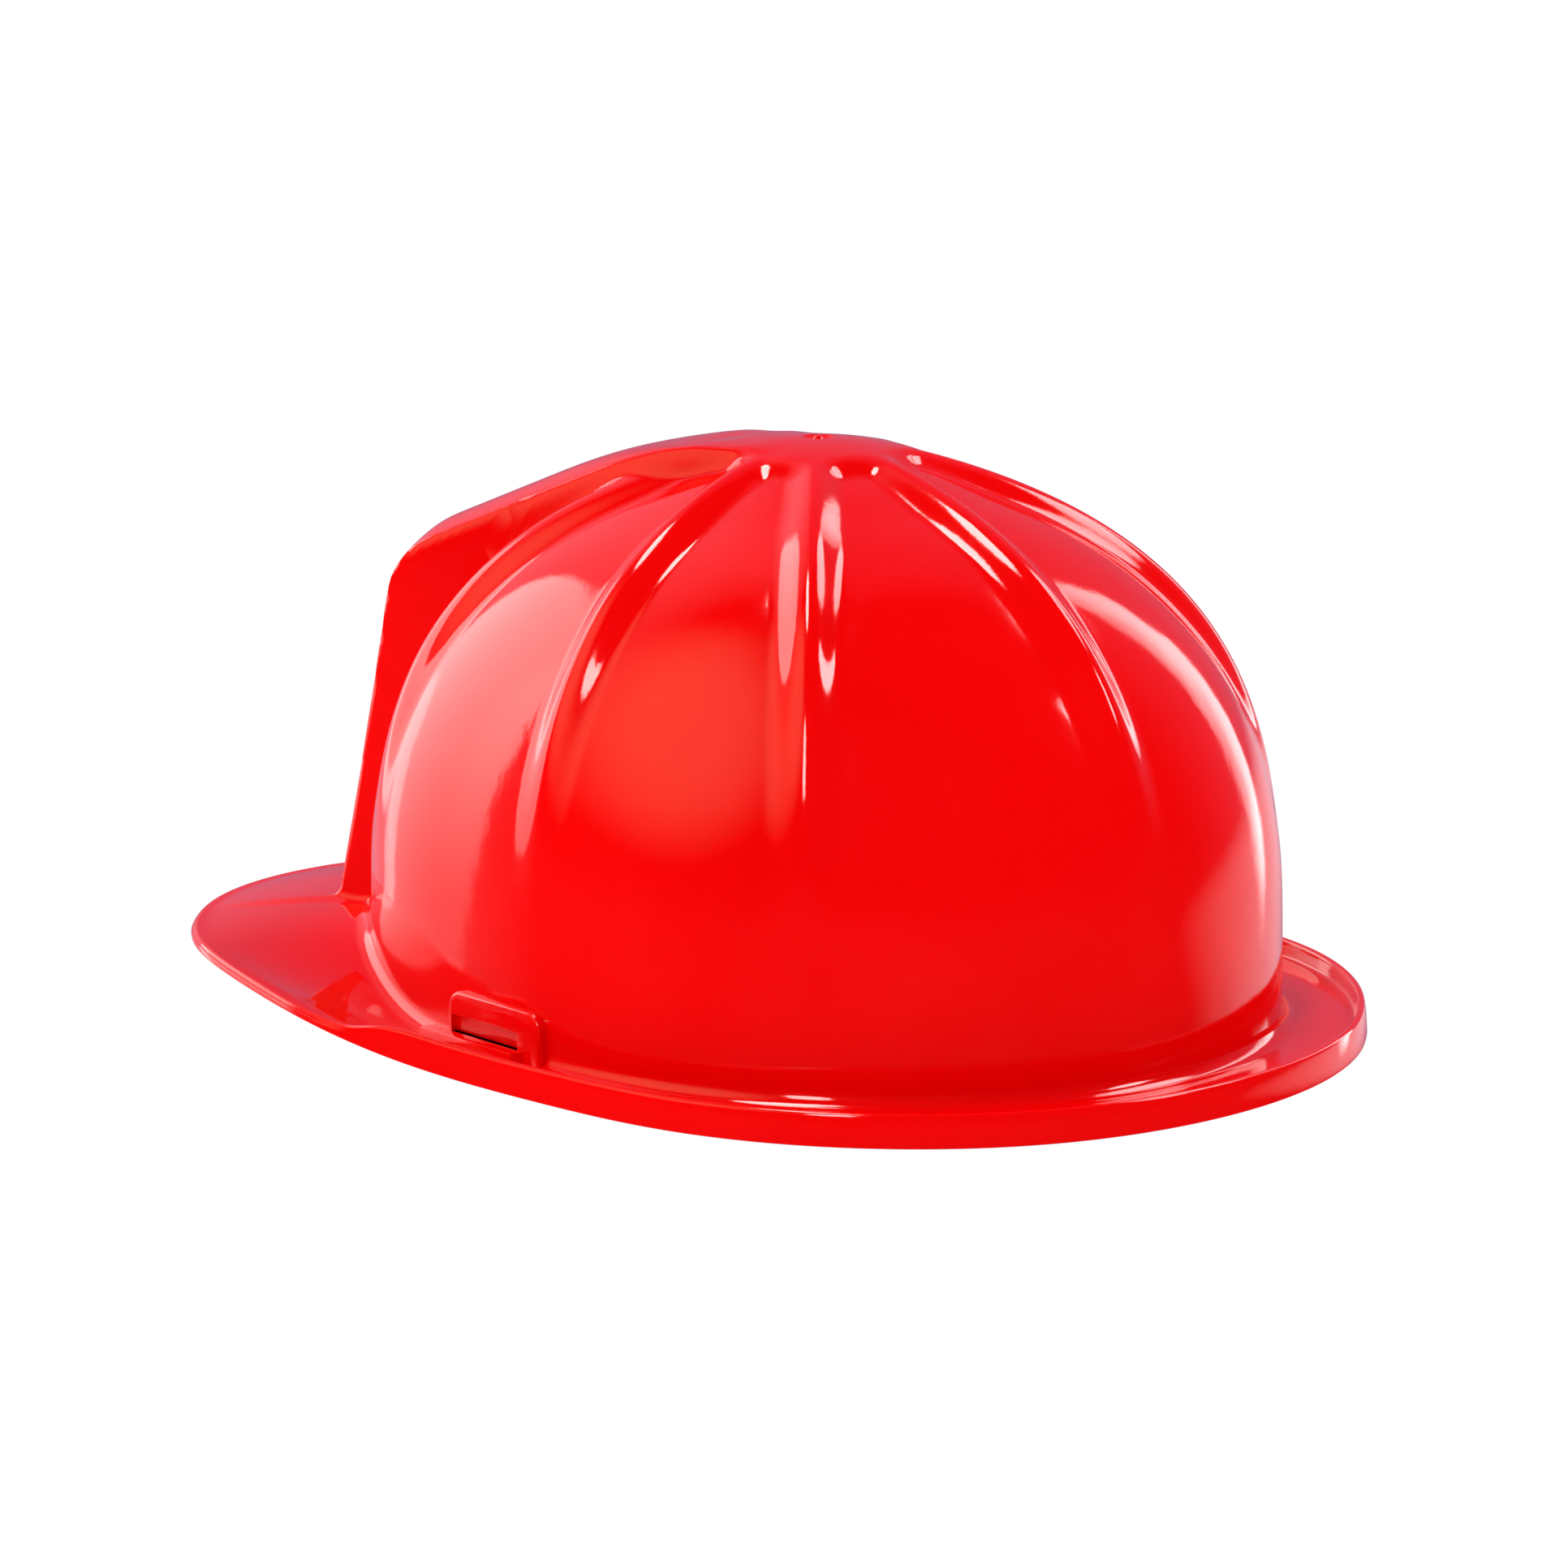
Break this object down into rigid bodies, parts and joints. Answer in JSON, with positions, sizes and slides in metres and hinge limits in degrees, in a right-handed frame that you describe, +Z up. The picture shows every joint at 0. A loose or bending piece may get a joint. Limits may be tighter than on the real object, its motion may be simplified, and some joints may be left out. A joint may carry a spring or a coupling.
{
  "type": "firefighter helmet",
  "caption": "One-piece red ribbed fire helmet with a front badge block, wide visor, rain gutter and side accessory slots, with a ratchet-adjusted inner harness.",
  "frame": {"origin": "middle of the footprint, on the surface that the rim stands on", "axes": "+Z up, -Y towards the visor, +X towards the wearer's left"},
  "size_m": [0.2076, 0.2734, 0.1307],
  "materials": {
    "red_shell": "high gloss moulded polyethylene, bright red",
    "band_plastic": "satin moulded plastic",
    "grey_nylon": "satin moulded nylon",
    "dark_nylon": "finely textured moulded nylon",
    "webbing": "woven webbing",
    "pad_fabric": "brushed knit over foam",
    "steel": "bright zinc plated",
    "pinion_nylon": "natural nylon"
  },
  "bodies": {
    "root": {"shell": "red_shell", "headband": "band_plastic", "hangers_front": "grey_nylon", "hangers_rear": "grey_nylon", "crown_strap_lower": "webbing", "crown_strap_upper": "webbing", "crown_rivet": "dark_nylon", "crown_pad": "pad_fabric", "brow_pad": "pad_fabric", "brow_pad_studs": "dark_nylon", "hanger_rivets": "steel", "nape_housing": "dark_nylon", "nape_cover": "dark_nylon", "cover_screws": "steel", "nape_pad": "pad_fabric", "strap_guides": "dark_nylon", "detent_ring": "steel"},
    "knob": {"pinion_shaft": "pinion_nylon", "adjuster_knob": "dark_nylon", "knob_screw": "steel"},
    "tail_left": {"strap_tail_left": "grey_nylon"},
    "tail_right": {"strap_tail_right": "grey_nylon"}
  },
  "joints": [
    {"name": "knob_turn", "type": "hinge", "parent": "root", "child": "knob", "pos_m": [0, 0.098, 0.019], "axis": [0, 1, 0], "range_deg": [-60, 60]},
    {"name": "left_end_slide", "type": "hinge", "parent": "root", "child": "tail_left", "pos_m": [0, 0.038, 0.019], "axis": [0, 0, 1], "range_deg": [-6, 6]},
    {"name": "right_end_slide", "type": "hinge", "parent": "root", "child": "tail_right", "pos_m": [0, 0.038, 0.019], "axis": [0, 0, 1], "range_deg": [-6, 6]}
  ],
  "couplings": [
    {"joint": "left_end_slide", "follows": "knob_turn", "ratio": -0.0853},
    {"joint": "right_end_slide", "follows": "knob_turn", "ratio": 0.0831}
  ]
}
